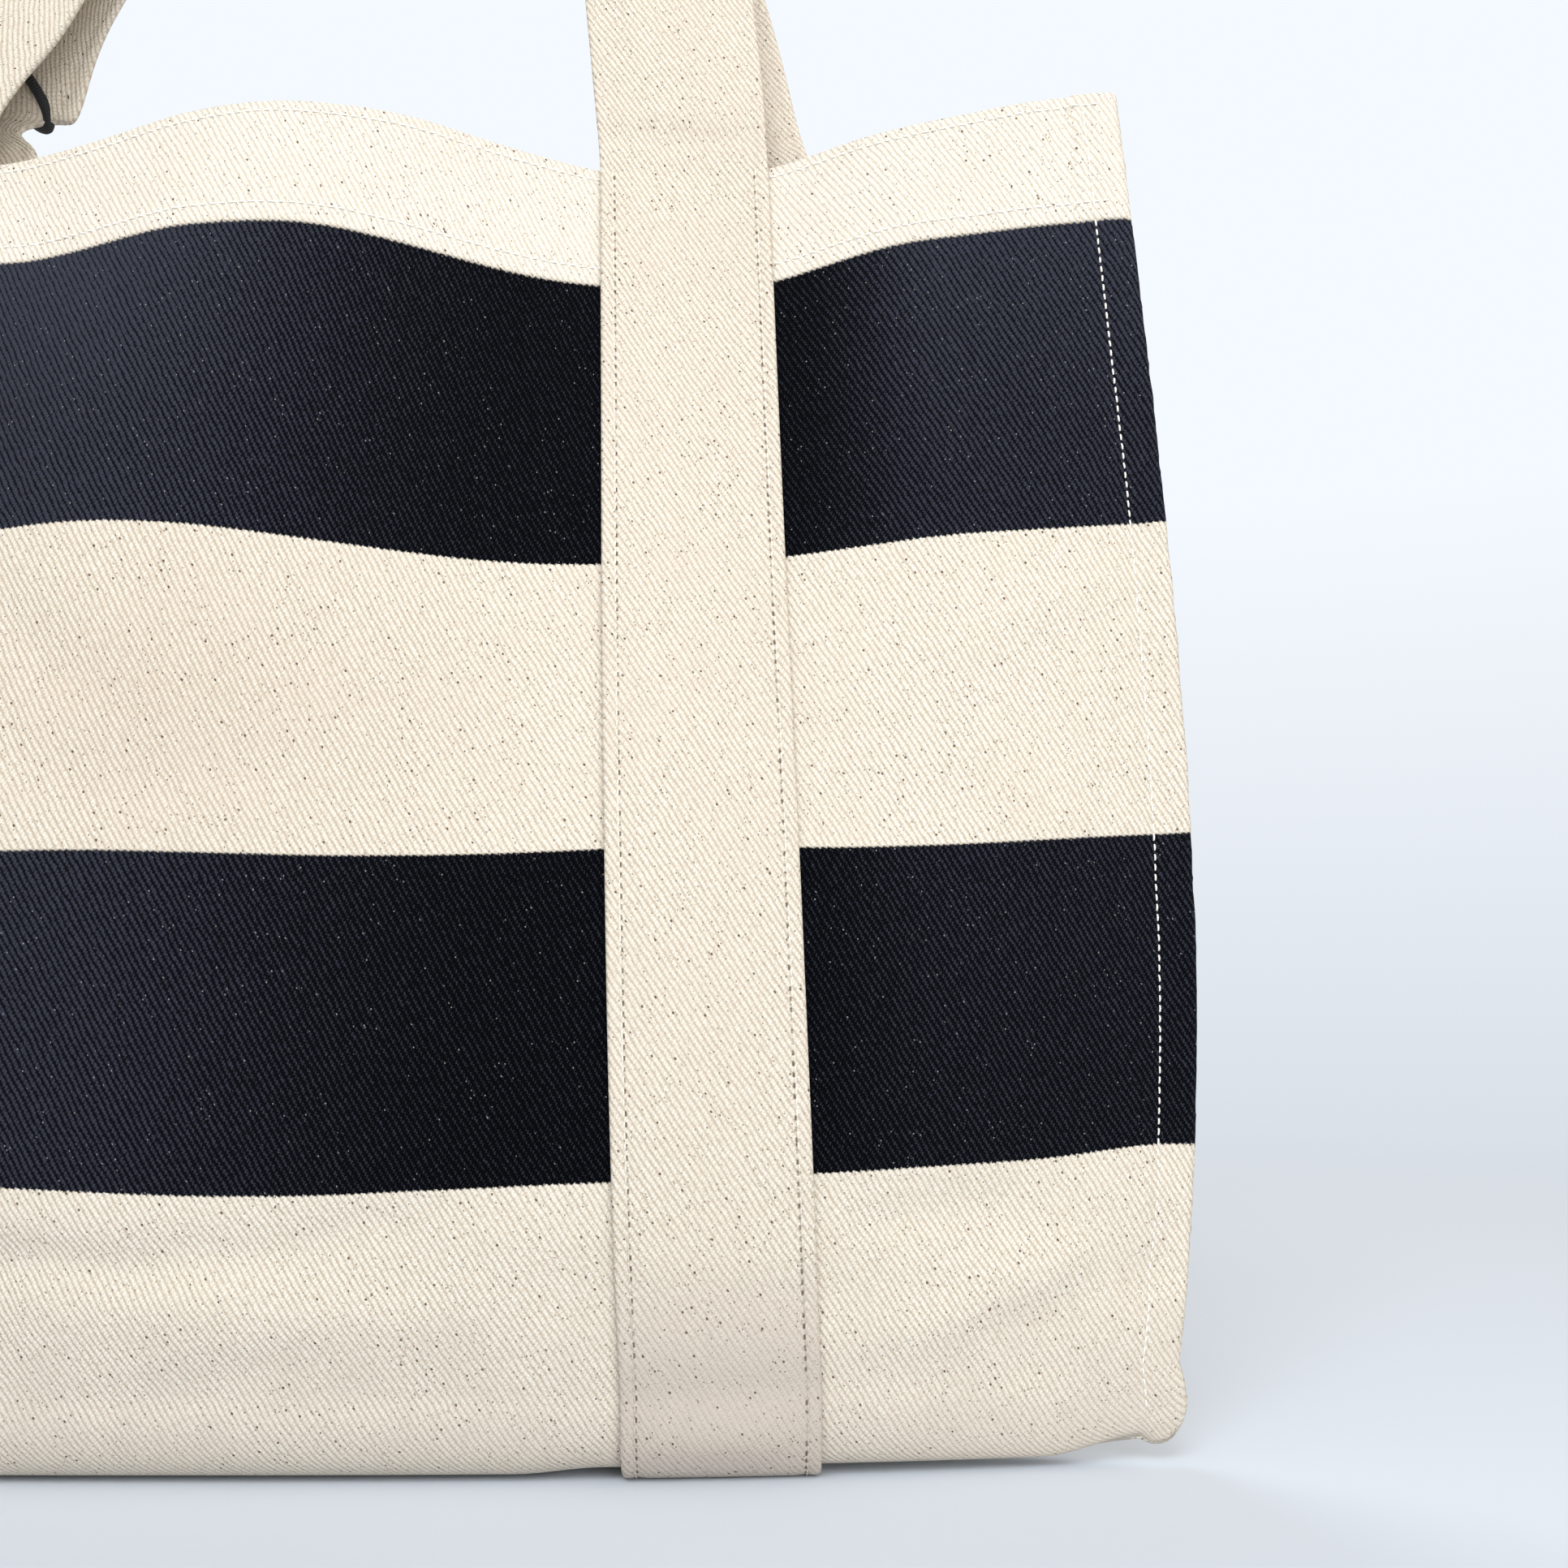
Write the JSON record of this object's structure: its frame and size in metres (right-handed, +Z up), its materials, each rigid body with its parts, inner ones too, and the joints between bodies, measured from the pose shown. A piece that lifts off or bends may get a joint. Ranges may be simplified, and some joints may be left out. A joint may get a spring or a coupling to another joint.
{
  "type": "canvas tote bag",
  "caption": "Open-topped cotton twill tote bag with broad black bands, straps sewn under the base that rise into folding shoulder handles, and a small elastic loop on a handle",
  "frame": {"origin": "centre of the bag's base on the floor, under the straps' undersides", "axes": "+X to the right of someone who faces the front, +Y from the front to the back, +Z up"},
  "size_m": [0.5108, 0.0816, 0.6234],
  "materials": {
    "canvas": "natural cotton twill with dark flecks and printed black bands",
    "strap": "natural cotton twill, folded and topstitched",
    "elastic": "black woven-covered elastic"
  },
  "bodies": {
    "bag": {"front_panel": "canvas", "back_panel": "canvas", "hem_front": "canvas", "hem_back": "canvas", "strap_left": "strap", "strap_right": "strap"},
    "front_handle": {"front_handle": "strap"},
    "back_handle": {"back_handle": "strap", "elastic_loop": "elastic"}
  },
  "joints": [
    {"name": "front_handle_fold", "type": "hinge", "parent": "bag", "child": "front_handle", "pos_m": [0, -0.00055, 0.3625], "axis": [1, 0, 0], "range_deg": [0, 150]},
    {"name": "back_handle_fold", "type": "hinge", "parent": "bag", "child": "back_handle", "pos_m": [0, 0.01755, 0.3625], "axis": [1, 0, 0], "range_deg": [-150, 0]}
  ]
}
